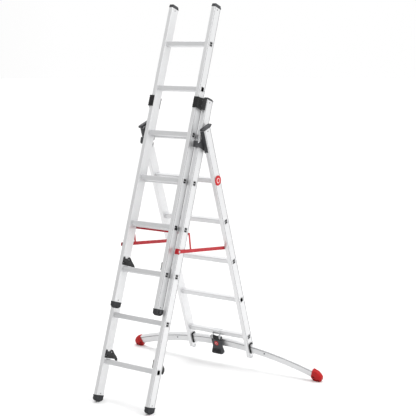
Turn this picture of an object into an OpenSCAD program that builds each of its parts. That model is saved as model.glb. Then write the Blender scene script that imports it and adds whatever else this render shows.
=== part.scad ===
// Three-section multi position ladder: a base section, an extension section that slides on its front,
// and a rear section that folds out behind and stands on an arched stabiliser bar with a foot pedal.
// Millimetres. X is across the ladder, Y runs to the back, Z is up. The feet rest on z = 0.

/* [Part to show] */
// name of one sub-part, or all

/* [Sections] */
// distance between two neighbouring rungs
rung_pitch = 280; // [260:5:300]
// rung pitches that the extension is raised by
raised_pitches = 2; // [0:1:3]
// lean of the front and rear sections from the vertical, in degrees
lean = 19; // [16:0.5:21]
// height of the lowest rung over the floor
rung1_z = 229; // [222:1:240]
// outer width of the extension section
ext_w = 340; // [320:2:344]
// outer width of the base section
base_w = 410; // [408:2:420]
// outer width of the rear section
rear_w = 480; // [480:2:500]

/* [Stiles and rungs] */
// width of a stile across the ladder
stile_w = 25; // [22:0.5:26]
// depth of a stile from front to back
stile_d = 65; // [60:1:68]
// wall of a stile
stile_wall = 2; // [1.5:0.1:2.5]
// side of the square rung tube
rung_size = 30; // [26:1:32]

/* [Stabiliser] */
// radius of the upper edge of the arched bar
arc_r = 2100; // [1900:10:2300]
// height of the bar
bar_h = 54; // [48:1:58]
// thickness of the bar from front to back
bar_t = 25; // [20:1:28]

/* [Spreader] */
// height of the spreader bars
spreader_h = 21; // [16:1:24]
// thickness of the spreader bars
spreader_t = 3.4; // [3:0.1:3.6]

/* [Hidden] */
$fn = 96;
eps = 0.5;
front_rungs = 6;
rear_rungs = 5;
// the extension lies this far in front of the base section, and the folded rear section behind it
stack = 51.5;
raise = raised_pitches * rung_pitch;
half_d = stile_d / 2;
half_r = rung_size / 2;
ext_in = ext_w / 2 - stile_w;
base_in = base_w / 2 - stile_w;
rear_in = rear_w / 2 - stile_w;
front_bottom = -214;
front_top = (front_rungs - 1) * rung_pitch + 230;
rivet_low = -192;
rivet_high = front_top - 16;
rear_bottom = -140;
rear_top = (rear_rungs - 1) * rung_pitch + 340;
// the hinge pins lie between the planes of the two sections, a little below the top rung
hinge_s = (front_rungs - 1) * rung_pitch - 56;
hinge_d = stack / 2;
pin_r = 4.5;
play = 0.05;
// depth from the lowest base rung to the lowest rear rung, and the shift that centres the footprint
rung_gap = 2 * (hinge_s * sin(lean) + hinge_d * cos(lean));
base_y = -458.68;
// centre of the arched bar's curvature, in the plane of the rear section
arc_s = -46 - arc_r;
bar_half = 684;
cap_x = 706;
cap_play = 0.3;
// radius of a foot's sole, and its centre along the stile
sole_r = 42;
sole_s = (sole_r - rung1_z - 0.6) / cos(lean);
// spreader pivot on the base section and catch stud on the rear section
pivot_s = 2.5 * rung_pitch + 6;
pivot_d = -31;
stud_s = 668;
stud_d = -25;
bar_x = base_w / 2 + 4;
riser_x = base_w / 2 + 1.4;
stud_r = 4;
pivot_to_stud = [
    rung_gap - stud_s * sin(lean) + stud_d * cos(lean) - pivot_s * sin(lean) - pivot_d * cos(lean),
    stud_s * cos(lean) + stud_d * sin(lean) - pivot_s * cos(lean) + pivot_d * sin(lean)];
spreader_len = norm(pivot_to_stud);
spreader_angle = atan2(pivot_to_stud[1], pivot_to_stud[0]);
// handle bar of the spreader, measured from the pivot along and square to the spreader bar
handle_at = 95;
handle_up = 100;
riser_foot = 123;
// rung latches: height of the pivot over its rung, its depth behind the stile's front face,
// and the inner face of each plate
latch_s = 62;
latch_d = 8;
base_latch_t = 3.5;
ext_latch_t = 4;
base_latch_x = base_in - base_latch_t - 0.5;
ext_latch_x = ext_in - ext_latch_t - 0.5;
// rivet heads
rivet_head = 1.4;
rivet_r = 3.6;
// upper edge of the bar where it passes through a rear stile
bar_slot_s = arc_s + sqrt(pow(arc_r, 2) - pow(rear_in + stile_w / 2, 2));
// middle of an end cap's sleeve, and the bar's slope there
cap_s = arc_s + sqrt(pow(arc_r - bar_h / 2, 2) - pow(cap_x, 2));
cap_turn = asin(cap_x / (arc_r - bar_h / 2));
// stop screws on the bar
stop_x = 345;
stop_s = arc_s + sqrt(pow(arc_r - bar_h / 2, 2) - pow(stop_x, 2));
// pedal: its axle in front of the lowest rear rung, its upper and lower ends, the lean of its front face,
// and the right half of its outline
axle_d = -30;
axle_s = -26;
axle_r = 4;
pedal_top = -42;
pedal_low = -141;
pedal_tilt = atan(4 / 50);
pedal_half = [[40, pedal_top], [41, -52], [38, -74], [37, -92], [39, -108], [44, -124], [45, -136],
    [42, pedal_low]];
// depth of the pedal's front face at a given height
function pedal_face(s) = -42 + (s + 60) * tan(pedal_tilt);

alu = [0.86, 0.87, 0.88];
alu_rung = [0.80, 0.81, 0.82];
steel = [0.62, 0.63, 0.65];
grey_plastic = [0.25, 0.25, 0.27];
black_plastic = [0.10, 0.10, 0.11];
red = [0.75, 0.08, 0.12];

// ---------- frames: in each section, X is across, Y is towards its back, Z runs up its stiles

module base_place() translate([0, base_y, rung1_z]) rotate([-lean, 0, 0]) children();
module ext_place() base_place() translate([0, -stack, raise]) children();
module rear_place() translate([0, base_y + rung_gap, rung1_z]) rotate([lean, 0, 0]) children();
module both_sides() {
    children();
    mirror([1, 0, 0]) children();
}
// turns a flat shape drawn as (towards the back, up the stile) so that it is extruded along X
module along_x(x0, length) translate([x0, 0, 0]) rotate([90, 0, 90]) linear_extrude(length) children();
// rod along X at a depth and a height
module rod_x(x0, length, r, d = 0, s = 0)
    translate([x0, d, s]) rotate([0, 90, 0]) cylinder(h = length, r = r);

// ---------- stiles and rungs

// hollow stile profile with two grooves down its outer face
module stile_profile() {
    edge = 1.2;
    groove = 1.3;
    g0 = 25;
    g1 = 28.6;
    difference() {
        polygon([[edge, -half_d], [stile_w - edge, -half_d], [stile_w, -half_d + edge],
            [stile_w, -g1], [stile_w - groove, -g1], [stile_w - groove, -g0], [stile_w, -g0],
            [stile_w, g0], [stile_w - groove, g0], [stile_w - groove, g1], [stile_w, g1],
            [stile_w, half_d - edge], [stile_w - edge, half_d], [edge, half_d],
            [0, half_d - edge], [0, -half_d + edge]]);
        translate([stile_wall, -half_d + stile_wall])
            square([stile_w - 2 * stile_wall, stile_d - 2 * stile_wall]);
    }
}

module rung_outline(size) {
    c = 3;
    h = size / 2;
    polygon([[-h + c, -h], [h - c, -h], [h, -h + c], [h, h - c], [h - c, h], [-h + c, h], [-h, h - c],
        [-h, -h + c]]);
}

// two chambers, one over the other
module rung_chambers() {
    wall = 2.2;
    w = rung_size - 2 * wall;
    h = (rung_size - 3 * wall) / 2;
    for (z = [-half_r + wall, wall / 2]) translate([-w / 2, z]) square([w, h]);
}

// square tread tube with grip grooves on top
module rung_profile() difference() {
    rung_outline(rung_size);
    rung_chambers();
    for (y = [-9, -3, 3, 9]) translate([y - grip_w / 2, half_r - 1]) square([grip_w, 2]);
}

// a stile with a window for each rung, from its inner face at x_in
module stile(x_in, s0, s1, rungs) difference() {
    translate([x_in, 0, s0]) linear_extrude(s1 - s0) stile_profile();
    for (k = [0 : rungs - 1]) translate([0, 0, k * rung_pitch])
        along_x(x_in - eps, stile_w + 2 * eps) rung_outline(rung_size);
}

// a rung that runs through both stiles, with a flared rim on each outer face
module rung(width) {
    rim = 1.2;
    rim_size = rung_size + 5;
    along_x(-width / 2, width) rung_profile();
    both_sides() along_x(width / 2, rim) difference() {
        rung_outline(rim_size);
        rung_chambers();
    }
}

module rungs(width, count) for (k = [0 : count - 1]) translate([0, 0, k * rung_pitch]) rung(width);

// ---------- end fittings

// rubber foot with a rounded sole, worn flat where it meets the floor
module foot(x_in) difference() {
    skirt = 2;
    depth = half_d + skirt;
    low = -250;
    top = -202;
    intersection() {
        translate([x_in - skirt, -depth, low]) cube([stile_w + 2 * skirt, 2 * depth, top - low]);
        rod_x(x_in - skirt - eps, stile_w + 2 * skirt + 2 * eps, sole_r, 0, sole_s);
    }
    translate([x_in, -half_d, front_bottom]) cube([stile_w, stile_d, 40]);
}

// plug cap on a stile end, bevelled towards the back
module top_cap(x_in, top, rise) {
    skirt = 1;
    h = half_d + skirt;
    difference() {
        along_x(x_in - skirt, stile_w + 2 * skirt)
            polygon([[-h, top - 3], [h, top - 3], [h, top + rise - 11], [h - 10, top + rise],
                [-h + 5, top + rise], [-h, top + rise - 5]]);
        translate([x_in, -half_d, top - 13]) cube([stile_w, stile_d, 13]);
    }
}

// rivet head on the outer face of a stile, and a pair on both its faces
module outer_rivet(x_in, s) rod_x(x_in + stile_w, rivet_head, rivet_r, 0, s);
module stile_rivet(x_in, s) {
    outer_rivet(x_in, s);
    rod_x(x_in - rivet_head, rivet_head, rivet_r, 0, s);
}

// ---------- base section

// slide bracket: clipped to the front of the base stile, it wraps round the extension stile
module base_guide() {
    s0 = front_top - 70;
    tall = 66;
    face = base_w / 2;
    clear = 0.6;
    wing = stack + half_d + clear;
    back = stack - half_d - clear;
    slot = ext_w / 2 + 2;
    lip = ext_in + 3;
    difference() {
        translate([0, 0, s0]) linear_extrude(tall)
            polygon([[lip, -back + 8], [base_in, -back + 8], [base_in, -half_d], [face, -half_d], [face, -44],
                [face - 12, -58], [base_in + 1, -63], [base_in + 1, -wing - 7], [lip, -wing - 7],
                [lip, -wing], [slot, -wing], [slot, -back], [lip, -back]]);
        // grooves across its front and round its side
        for (k = [0 : 4]) translate([0, 0, s0 + 7 + 12 * k]) {
            translate([lip - eps, -wing - 7 - eps, 0]) cube([base_in - lip + 3, 1.5 + eps, 4]);
            translate([base_in - 0.3, -wing - 8, 0]) cube([2, 28, 4]);
        }
    }
}

// hinge shell on the outer face of the base stile, with a claw round its front
module hinge_shell() {
    x0 = base_w / 2;
    top = hinge_s + 90;
    low = hinge_s - 12;
    rim = rung_size + 7;
    rung_s = (front_rungs - 1) * rung_pitch;
    difference() {
        union() {
            along_x(x0, 4.6) polygon([[-half_d, low + 2], [hinge_d - 14, low], [hinge_d - 6, low - 6],
                [half_d - 2, low - 3], [half_d, low + 8], [half_d, hinge_s + 30], [half_d - 4, top],
                [-4, top], [-14, top - 18], [-20, hinge_s + 30], [-half_d, hinge_s + 18]]);
            // claw in front of the stile, open at its top
            along_x(x0 - 22, 26.6) polygon([[-half_d, low + 2], [-half_d - 17, low - 4],
                [-half_d - 25, low + 3], [-half_d - 29, low + 30], [-half_d - 26, low + 36],
                [-half_d - 20, low + 35], [-half_d - 15, low + 22], [-half_d - 7, low + 20], [-half_d, low + 28]]);
            // return flange behind the stile
            along_x(x0 - 23, 27.6) polygon([[half_d, hinge_s + 26], [half_d + 9, hinge_s + 30],
                [half_d + 9, hinge_s + 50], [half_d, hinge_s + 58]]);
        }
        // pocket over the flared end of the top rung
        along_x(x0 - eps, 1.5 + eps) translate([0, rung_s]) square(rim, center = true);
        rod_x(x0 - eps, 6, pin_r + play, hinge_d, hinge_s);
    }
}

// bright plate down the front of the stile, curled up inside the claw
module strike_plate() {
    low = hinge_s - 12;
    along_x(base_w / 2 - 20, 18) translate([-half_d, low]) polygon([[-0.1, 108], [-2, 108], [-2, 32],
        [-4, 26], [-8, 25], [-12, 27], [-15, 38], [-17, 38], [-14.2, 25], [-8, 22.5], [-3, 24.6],
        [-0.1, 30]]);
}

// pin through the base stile, the hinge shell, the hinge plate and the rear stile
module hinge_pin() {
    rod_x(base_in + stile_wall, rear_w / 2 - base_in - stile_wall + 1, pin_r, hinge_d, hinge_s);
    rod_x(rear_w / 2 + 0.1, 1.8, 8, hinge_d, hinge_s);
}

module pin_hole(x0, length) rod_x(x0, length, pin_r + play, hinge_d, hinge_s);

// clip round the front of the base stile that carries the spreader pivot
module spreader_clip() {
    x0 = base_w / 2;
    tall = 32;
    reach = 22;
    translate([0, 0, pivot_s - tall / 2]) linear_extrude(tall)
        polygon([[x0 - reach, -half_d], [x0, -half_d], [x0, -half_d + 14], [x0 + 2, -half_d + 14],
            [x0 + 2, -half_d - 5.5], [x0 - reach + 3, -half_d - 5.5], [x0 - reach, -half_d - 2.5]]);
}

module spreader_pivot_bolt() {
    x0 = base_w / 2;
    difference() {
        union() {
            rod_x(x0 + 2, bar_x + spreader_t + 0.2 - x0 - 2, 4, pivot_d, pivot_s);
            rod_x(bar_x + spreader_t + 0.2, 1.6, 7, pivot_d, pivot_s);
        }
        rod_x(bar_x + spreader_t + 1, 1, 2.5, pivot_d, pivot_s);
    }
}

// ---------- rung latches

// plate that sits over a rung and reaches behind the stile, drawn from the stile's front face
module latch_outline() polygon([[0, 24], [4, 21], [96, 20], [103, 16], [104, -4], [108, -11], [115, -11],
    [123, -2], [127, 12], [124, 25], [110, 38], [88, 52], [70, 68], [64, 72], [52, 72], [44, 61], [20, 60],
    [17, 70], [5, 70], [1, 62]]);

module latch_plate(x0, t) difference() {
    along_x(x0, t) translate([-half_d, 0]) latch_outline();
    // hole for its bolt, and two windows
    for (hole = [[3.5 + play, latch_d, latch_s], [5, 12, 34], [6, 58, 58]])
        rod_x(x0 - eps, t + 2 * eps, hole[0], hole[1] - half_d, hole[2]);
}

// thumb bolt on the stile's inner face
module latch_bolt(x0, x1, head) {
    rod_x(x0, x1 - x0, 3.5, latch_d - half_d, latch_s);
    rod_x(x0 - head, head, 6, latch_d - half_d, latch_s);
}

// ---------- extension section

// runner beside the extension's foot that keeps it centred between the base stiles
module lower_guide() translate([ext_w / 2 + 2, 0, -226]) {
    translate([0, -11, 0]) cube([4.6, 22, 22]);
    translate([4.6, -8, 3]) cube([2, 16, 16]);
}

// ---------- rear section

// opening for the bar through a rear stile
module bar_slot(x0, length) translate([x0, -bar_t / 2 - 1, bar_slot_s - bar_h - 3.5])
    cube([length, bar_t + 2, bar_h + 6]);

module rear_stile() difference() {
    stile(rear_in, rear_bottom, rear_top, rear_rungs);
    bar_slot(rear_in - eps, stile_w + 2 * eps);
    pin_hole_rear(rear_in - eps, stile_w + 2 * eps);
}

module pin_hole_rear(x0, length) rod_x(x0, length, pin_r + play, -hinge_d, hinge_s);

// cap on the rear stile that overhangs it at the front and at the back
module rear_cap() difference() {
    along_x(rear_in + 0.5, stile_w + 1) polygon([[-46, rear_top - 1], [-half_d - 1, rear_top - 6],
        [half_d, rear_top - 6], [50, rear_top + 3], [50, rear_top + 8], [45, rear_top + 12],
        [-41, rear_top + 12], [-46, rear_top + 7]]);
    translate([rear_in, -half_d, rear_top - 7]) cube([stile_w, stile_d, 7]);
}

// plate on the inner face of the rear stile that turns on the hinge pin, with a strip down the stile's front
module hinge_plate() {
    x0 = rear_in;
    low = hinge_s - 48;
    top = rear_top - 8;
    difference() {
        union() {
            along_x(x0 - 4.6, 4.6) polygon([[-half_d - 4, hinge_s - 26], [-half_d + 12, low],
                [-half_d + 18, low], [half_d - 6, hinge_s - 20], [half_d - 2, hinge_s + 40],
                [half_d - 10, top], [-half_d - 4, top]]);
            along_x(x0, 21) polygon([[-half_d - 4, hinge_s - 26], [-half_d, low + 20], [-half_d, top],
                [-half_d - 4, top]]);
        }
        pin_hole_rear(x0 - 5, 6);
    }
}

module spreader_stud() {
    rod_x(bar_x + spreader_t + 0.4, rear_in - bar_x - spreader_t - 0.4, stud_r, stud_d, stud_s);
    rod_x(rear_w / 2, 2.4, 7, stud_d, stud_s);
}

// collar round the bar on both faces of a rear stile
module bar_collar() {
    tall = bar_h + 18;
    wide = bar_t + 16;
    t = 6;
    for (x = [rear_in - t, rear_w / 2]) difference() {
        along_x(x, t) translate([0, bar_slot_s - bar_h / 2]) polygon([
            [-wide / 2 + 6, -tall / 2], [wide / 2 - 6, -tall / 2], [wide / 2, -tall / 2 + 6],
            [wide / 2, tall / 2 - 6], [wide / 2 - 6, tall / 2], [-wide / 2 + 6, tall / 2],
            [-wide / 2, tall / 2 - 6], [-wide / 2, -tall / 2 + 6]]);
        bar_slot(x - eps, t + 2 * eps);
    }
}

// eye at the bottom of a rear stile
module end_ring() {
    r = 13;
    mid = rear_in + stile_w / 2;
    difference() {
        union() {
            rod_x(mid - 8, 16, r, 0, rear_bottom - r - 1);
            translate([rear_in, -half_d, rear_bottom - 3]) cube([stile_w, stile_d, 3]);
        }
        rod_x(mid - 9, 18, 5.5, 0, rear_bottom - r - 1);
    }
}

// ---------- stabiliser

// ring segment about the arch's centre, between two radii, as far out as x and t thick
module arc_block(r0, r1, x, t) intersection() {
    translate([0, 0, arc_s]) rotate([90, 0, 0]) difference() {
        cylinder(h = t, r = r1, center = true, $fn = 360);
        cylinder(h = t + 1, r = r0, center = true, $fn = 360);
    }
    translate([-x, -t / 2 - 1, -400]) cube([2 * x, t + 2, 400]);
}

// hollow arched bar with a groove along both faces
module stabiliser_tube() {
    wall = 2.2;
    deep = 1.6;
    difference() {
        arc_block(arc_r - bar_h, arc_r, bar_half, bar_t);
        arc_block(arc_r - bar_h + wall, arc_r - wall, bar_half + 1, bar_t - 2 * wall);
        for (side = [-1, 1]) translate([0, side * (bar_t / 2 - deep / 2), 0])
            arc_block(arc_r - 14, arc_r - 10, bar_half + 1, deep + 0.02);
    }
}

// rubber end cap: a sleeve over the bar's end and a round foot below it
module end_cap() {
    sleeve = bar_h + 12;
    half = bar_t / 2 + 7.5;
    ball_r = 37;
    ball_x = 707;
    ball_s = cap_s - 15.7;
    difference() {
        union() {
            intersection() {
                translate([cap_x, 0, cap_s]) rotate([0, cap_turn, 0])
                    translate([-32, -half + 1.5, -sleeve / 2]) cube([44, 2 * half - 3, sleeve]);
                translate([600, -100, -400]) cube([200, 200, 400]);
            }
            for (k = [0 : 2]) translate([ball_x, 0, ball_s]) rotate([90, 0, 0])
                cylinder(h = 2 * (half - 3 * k), r = ball_r - 5 + 2.5 * k, center = true);
        }
        // room for the bar's end
        arc_block(arc_r - bar_h - cap_play, arc_r + cap_play, bar_half + cap_play, bar_t + 2 * cap_play);
    }
}

// screw heads on both faces of the bar, which stop it at the collar
module stop_screw() for (side = [-1, 1]) translate([stop_x, side * (bar_t / 2 + 1), stop_s])
    rotate([90, 0, 0]) cylinder(h = 2, r = 4.5, center = true);

// ---------- foot pedal, in the frame of the rear section

// saddle over the lowest rear rung that carries the pedal's axle
module bracket() {
    half = 27;
    t = 3;
    difference() {
        union() {
            along_x(-half, 2 * half) polygon([[-half_r - t, 4], [-half_r - t, half_r + t], [12, half_r + t],
                [12, half_r], [-half_r, half_r], [-half_r, 4]]);
            both_sides() along_x(half - 4, 4) polygon([[-half_r, 8], [-half_r, -14], [-22, -38], [-36, -38],
                [-38, -18], [-half_r - t, 8]]);
        }
        rod_x(-half - 1, 2 * half + 2, axle_r + play, axle_d, axle_s);
    }
}

module pedal_outline() polygon(concat(pedal_half,
    [for (k = [len(pedal_half) - 1 : -1 : 0]) [-pedal_half[k][0], pedal_half[k][1]]]));

// waisted plate that the foot presses
module pedal_body() {
    intersection() {
        rotate([90, 0, 0]) linear_extrude(80) pedal_outline();
        along_x(-50, 100) polygon([[-24, pedal_top], [-38, pedal_top], [pedal_face(-50), -50],
            [pedal_face(-92), -92], [-60, -122], [-64, -132], [-62, pedal_low], [-20, pedal_low],
            [-20, -140], [-22, -60]]);
    }
}

module pedal_hub_body() difference() {
    union() {
        rod_x(-13, 26, 9, axle_d, axle_s);
        along_x(-13, 26) polygon([[-24, pedal_top], [-36, pedal_top], [-37, -28], [-23, -28]]);
    }
    rod_x(-14, 28, axle_r + play, axle_d, axle_s);
}

// ---------- sub-parts

module base_stile() difference() {
    stile(base_in, front_bottom, front_top, front_rungs);
    pin_hole(base_in - eps, stile_w + 2 * eps);
}

module base_stile_right() color(alu) base_place() base_stile();
module base_stile_left() color(alu) base_place() mirror([1, 0, 0]) base_stile();
module base_rungs() color(alu_rung) base_place() rungs(base_w, front_rungs);
module base_top_caps() color(grey_plastic) base_place() both_sides() top_cap(base_in, front_top, 10);
module base_feet() color(grey_plastic) difference() {
    base_place() both_sides() foot(base_in);
    translate([-400, base_y - 200, -100]) cube([800, 400, 100]);
}
module base_rivets() color(steel) base_place() both_sides()
    for (s = [rivet_low, rivet_high]) stile_rivet(base_in, s);
module base_guide_right() color(black_plastic) base_place() base_guide();
module base_guide_left() color(black_plastic) base_place() mirror([1, 0, 0]) base_guide();
module hinge_shell_right() color(grey_plastic) base_place() hinge_shell();
module hinge_shell_left() color(grey_plastic) base_place() mirror([1, 0, 0]) hinge_shell();
module hinge_strike_plates() color(steel) base_place() both_sides() strike_plate();
module hinge_pins() color(steel) base_place() both_sides() hinge_pin();
module spreader_clips() color(red) base_place() both_sides() spreader_clip();
module spreader_pivot_bolts() color(steel) base_place() both_sides() spreader_pivot_bolt();
module base_latch_right() color(black_plastic) base_place() latch_plate(base_latch_x, base_latch_t);
module base_latch_left() color(black_plastic) base_place() mirror([1, 0, 0])
    latch_plate(base_latch_x, base_latch_t);
module base_latch_bolts() color(steel) base_place() both_sides() latch_bolt(base_latch_x, base_in, 2.6);

module ext_stile_right() color(alu) ext_place() stile(ext_in, front_bottom, front_top, front_rungs);
module ext_stile_left() color(alu) ext_place() mirror([1, 0, 0])
    stile(ext_in, front_bottom, front_top, front_rungs);
module ext_rungs() color(alu_rung) ext_place() rungs(ext_w, front_rungs);
module ext_top_caps() color(grey_plastic) ext_place() both_sides() top_cap(ext_in, front_top, 18);
module ext_feet() color(grey_plastic) ext_place() both_sides() foot(ext_in);
module ext_rivets() color(steel) ext_place() both_sides()
    for (s = [rivet_low, rivet_high]) stile_rivet(ext_in, s);
module ext_lower_guides() color(grey_plastic) ext_place() both_sides() lower_guide();
module ext_latch_right() color(black_plastic) ext_place() latch_plate(ext_latch_x, ext_latch_t);
module ext_latch_left() color(black_plastic) ext_place() mirror([1, 0, 0])
    latch_plate(ext_latch_x, ext_latch_t);
module ext_latch_bolts() color(steel) ext_place() both_sides() latch_bolt(ext_latch_x, ext_in, 3);

module rear_stile_right() color(alu) rear_place() rear_stile();
module rear_stile_left() color(alu) rear_place() mirror([1, 0, 0]) rear_stile();
module rear_rungs() color(alu_rung) rear_place() rungs(rear_w, rear_rungs);
module rear_top_caps() color(grey_plastic) rear_place() both_sides() rear_cap();
module rear_rivets() color(steel) rear_place() both_sides() outer_rivet(rear_in, rear_top - 18);
module hinge_plate_right() color(grey_plastic) rear_place() hinge_plate();
module hinge_plate_left() color(grey_plastic) rear_place() mirror([1, 0, 0]) hinge_plate();
module spreader_studs() color(steel) rear_place() both_sides() spreader_stud();
module badge_disc() color(red) rear_place() rod_x(rear_w / 2 + 1.2, 4, 31, 0, 4 * rung_pitch);
module bar_collars() color(black_plastic) rear_place() both_sides() bar_collar();
module stile_end_rings() color(steel) rear_place() both_sides() end_ring();

// the spreader frame is drawn along its bars, from the pivot on the base section
module spreader_place() base_place() translate([0, pivot_d, pivot_s])
    rotate([lean + spreader_angle, 0, 0]) children();
module spreader_bar() difference() {
    h = spreader_h / 2;
    along_x(bar_x, spreader_t) polygon([[-14, -h + 4], [-10, -h], [spreader_len + 8, -h],
        [spreader_len + 11, -h + 3], [spreader_len + 11, h - 3], [spreader_len + 8, h], [-10, h],
        [-14, h - 4]]);
    rod_x(bar_x - eps, spreader_t + 2 * eps, 4 + play, 0, 0);
}
// tab that turns in behind the catch stud
module spreader_end_tab() translate([bar_x + spreader_t, spreader_len + stud_r + 0.6, -spreader_h / 2 + 2])
    cube([rear_in - 0.5 - bar_x - spreader_t, 6, spreader_h - 4]);
// upright from the bar to the crossbar
module spreader_riser() difference() {
    r = 7;
    across = [handle_at - riser_foot, handle_up];
    side = [across[1], -across[0]] / norm(across) * r;
    union() {
        along_x(riser_x, bar_x - riser_x) polygon([[riser_foot + side[0], -8 + side[1]],
            [handle_at + side[0], handle_up + side[1]], [handle_at - side[0], handle_up - side[1]],
            [riser_foot - side[0], -8 - side[1]]]);
        rod_x(riser_x, bar_x - riser_x, r, handle_at, handle_up);
    }
    rod_x(riser_x - eps, bar_x - riser_x + 2 * eps, 4, handle_at, handle_up);
}
module spreader_bar_right() color(red) spreader_place() spreader_bar();
module spreader_bar_left() color(red) spreader_place() mirror([1, 0, 0]) spreader_bar();
module spreader_end_tabs() color(red) spreader_place() both_sides() spreader_end_tab();
module spreader_risers() color(red) spreader_place() both_sides() spreader_riser();
module spreader_handle() color(red) spreader_place() {
    rod_x(-riser_x, 2 * riser_x, 7, handle_at, handle_up);
    rod_x(-bar_x, 2 * bar_x, 4, handle_at, handle_up);
}

module stabiliser_bar() color(alu) rear_place() stabiliser_tube();
module cap_on_floor() difference() {
    rear_place() children();
    translate([-900, 0, -200]) cube([1800, 900, 200]);
}
module stabiliser_cap_right() color(red) cap_on_floor() end_cap();
module stabiliser_cap_left() color(red) cap_on_floor() mirror([1, 0, 0]) end_cap();
module stabiliser_stop_screws() color(steel) rear_place() both_sides() stop_screw();

module pedal_bracket() color(steel) rear_place() bracket();
module pedal_axle() color(steel) rear_place() rod_x(-39, 78, axle_r, axle_d, axle_s);
module pedal_plate() color(grey_plastic) rear_place() pedal_body();
module pedal_hub() color(black_plastic) rear_place() pedal_hub_body();
// block that bears on the bar's front face
module pedal_brake_shoe() color(black_plastic) rear_place() along_x(-12, 24)
    polygon([[-bar_t / 2 - 0.6, -62], [-21.95, -62], [-21.1, -96], [-bar_t / 2 - 0.6, -92]]);
module pedal_badge() color(red) rear_place() translate([0, pedal_face(-68), -68])
    rotate([90 - pedal_tilt, 0, 0]) cylinder(h = 2.4, r = 15.5);
module pedal_spring() color(steel) rear_place() both_sides() difference() {
    rod_x(28, 9, 8, axle_d, axle_s);
    rod_x(27, 11, axle_r + 0.4, axle_d, axle_s);
}

// ---------- the part

base_stile_left();
base_stile_right();
base_rungs();
base_top_caps();
base_feet();
base_rivets();
base_guide_left();
base_guide_right();
hinge_shell_left();
hinge_shell_right();
hinge_strike_plates();
hinge_pins();
spreader_clips();
spreader_pivot_bolts();
base_latch_left();
base_latch_right();
base_latch_bolts();
ext_stile_left();
ext_stile_right();
ext_rungs();
ext_top_caps();
ext_feet();
ext_rivets();
ext_lower_guides();
ext_latch_left();
ext_latch_right();
ext_latch_bolts();
rear_stile_left();
rear_stile_right();
rear_rungs();
rear_top_caps();
rear_rivets();
hinge_plate_left();
hinge_plate_right();
spreader_studs();
badge_disc();
bar_collars();
stile_end_rings();
spreader_bar_left();
spreader_bar_right();
spreader_end_tabs();
spreader_risers();
spreader_handle();
stabiliser_bar();
stabiliser_cap_left();
stabiliser_cap_right();
stabiliser_stop_screws();
pedal_bracket();
pedal_axle();
pedal_plate();
pedal_hub();
pedal_brake_shoe();
pedal_badge();
pedal_spring();
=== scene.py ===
# Multi position ladder: looks, materials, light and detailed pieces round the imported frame.
# Shapes are drawn in millimetres in the frame of their ladder section: X across the ladder, D towards
# the section's back, S up its stiles. Each is then placed in the model's frame, which is in metres.
import math

import bmesh
import bpy
from mathutils import Matrix, Vector


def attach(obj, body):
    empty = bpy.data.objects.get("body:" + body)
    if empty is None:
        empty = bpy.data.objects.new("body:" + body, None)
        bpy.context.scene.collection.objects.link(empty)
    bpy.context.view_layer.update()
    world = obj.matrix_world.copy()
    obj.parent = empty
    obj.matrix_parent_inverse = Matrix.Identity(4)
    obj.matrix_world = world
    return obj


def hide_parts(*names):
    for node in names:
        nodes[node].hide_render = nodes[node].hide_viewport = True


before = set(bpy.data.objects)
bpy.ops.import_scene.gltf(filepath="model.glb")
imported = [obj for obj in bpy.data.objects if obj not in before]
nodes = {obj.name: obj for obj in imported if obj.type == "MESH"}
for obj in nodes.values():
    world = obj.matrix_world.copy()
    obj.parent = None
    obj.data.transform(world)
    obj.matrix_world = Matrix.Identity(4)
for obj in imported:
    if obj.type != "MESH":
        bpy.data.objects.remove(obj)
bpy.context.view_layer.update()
scene = bpy.context.scene

# ---------------------------------------------------------------- sizes, in millimetres

MM = 0.001
PITCH = 280.0
LEAN = math.radians(19.0)
BASE_Y = -458.68
RUNG1_Z = 229.0
STACK = 51.5
RAISE = 560.0
STILE_W = 25.0
STILE_GROOVE, STILE_GROOVE_0, STILE_GROOVE_1 = 1.3, 25.0, 28.6
GRIP_S, GRIP_HALF = 14.0, 12.0
HALF_D = 32.5
EXT_IN, BASE_IN, REAR_IN = 145.0, 180.0, 215.0
EXT_OUT, BASE_OUT, REAR_OUT = 170.0, 205.0, 240.0
FRONT_TOP = 1630.0
REAR_BOTTOM, REAR_TOP = -140.0, 1460.0
RIVET_LOW = -192.0
HINGE_S, HINGE_D = 1344.0, 25.75
RUNG_GAP = 2 * (HINGE_S * math.sin(LEAN) + HINGE_D * math.cos(LEAN))
ARC_R, ARC_S, BAR_H, BAR_T, BAR_GROOVE = 2100.0, -2146.0, 54.0, 25.0, 1.6
STOP_X = 345.0
SOLE_R = 42.0
SOLE_S = (SOLE_R - RUNG1_Z - 0.6) / math.cos(LEAN)
PIVOT_S, PIVOT_D = 706.0, -31.0
STUD_S, STUD_D = 668.0, -25.0
BAR_X, SPREADER_T = 209.0, 3.4
LATCH_S, LATCH_D = 62.0, 8.0
AXLE_D, AXLE_S = -30.0, -26.0


def section(y, lean):
    """Millimetres in a section's own frame to metres in the model's frame."""
    move = Matrix.Translation(Vector((0, y, RUNG1_Z)) * MM)
    return move @ Matrix.Rotation(lean, 4, "X") @ Matrix.Scale(MM, 4)


BASE = section(BASE_Y, -LEAN)
EXT = BASE @ Matrix.Translation((0, -STACK, RAISE))
REAR = section(BASE_Y + RUNG_GAP, LEAN)

# ---------------------------------------------------------------- shapes


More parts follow.
